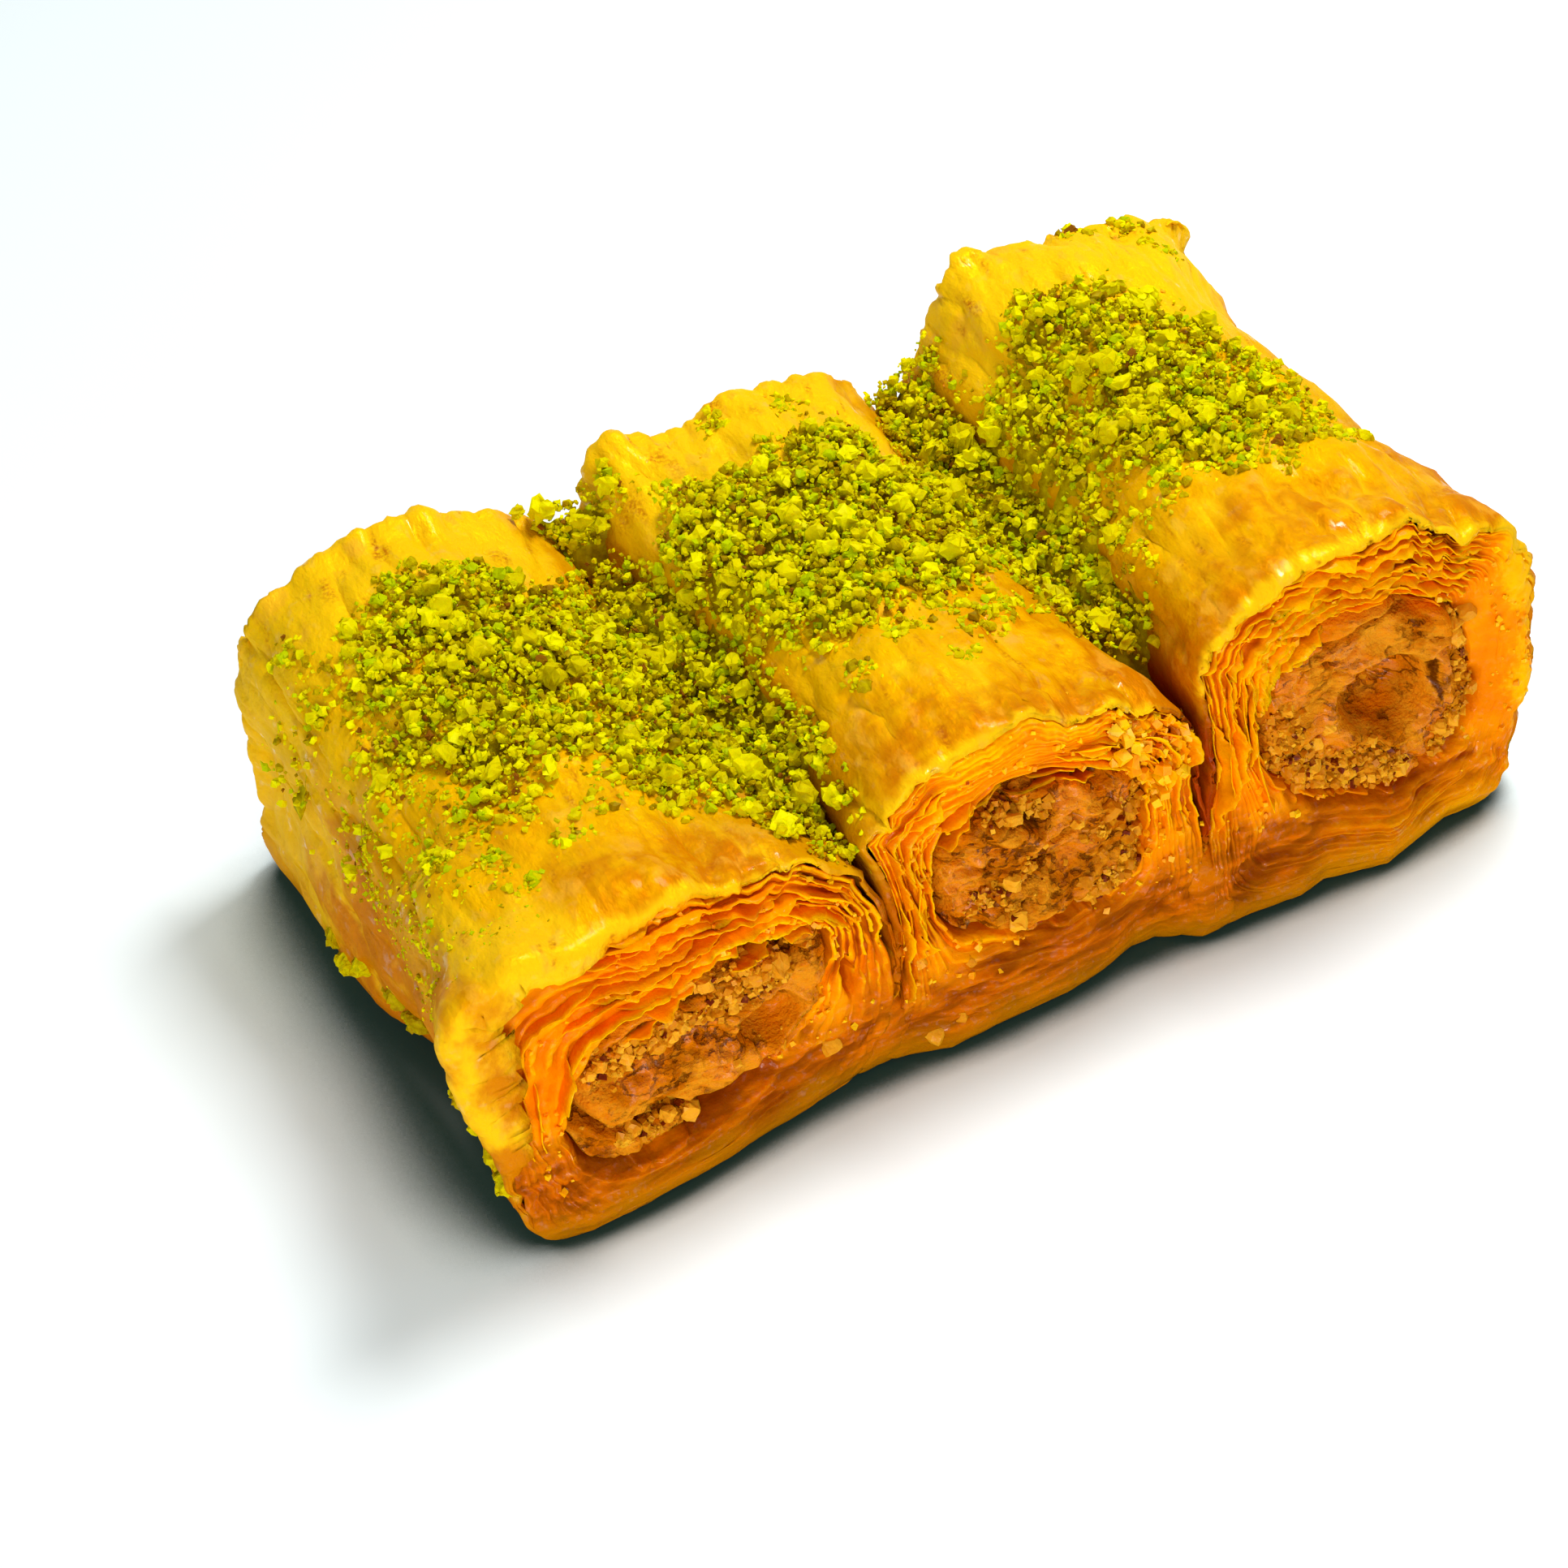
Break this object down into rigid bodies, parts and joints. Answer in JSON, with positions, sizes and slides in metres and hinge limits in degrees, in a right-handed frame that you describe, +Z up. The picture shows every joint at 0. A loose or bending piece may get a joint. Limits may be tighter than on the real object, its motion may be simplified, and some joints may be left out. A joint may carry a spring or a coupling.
{
  "type": "rolled baklava piece",
  "caption": "Rolled phyllo pastries lying side by side, stuck with syrup and cut square, with a nut filling and a drift of ground pistachio on top.",
  "frame": {"origin": "middle of the base, on the surface that the piece lies on", "axes": "+X across the rolls from the lowest one to the tallest, +Y along the rolls away from the front cut face, +Z up"},
  "size_m": [0.0912, 0.047, 0.0337],
  "materials": {
    "phyllo": "thin baked pastry sheets, golden yellow to orange, wet with syrup",
    "nut_filling": "beige to brown folded pastry and crushed nuts, damp, with darker seams",
    "pistachio": "ground pistachio, yellow-green crumbs with a few purple-brown skins"
  },
  "bodies": {
    "root": {"roll_left": "phyllo", "roll_middle": "phyllo", "roll_right": "phyllo", "filling_left": "nut_filling", "filling_middle": "nut_filling", "filling_right": "nut_filling", "pistachio_drift": "pistachio"}
  },
  "joints": []
}
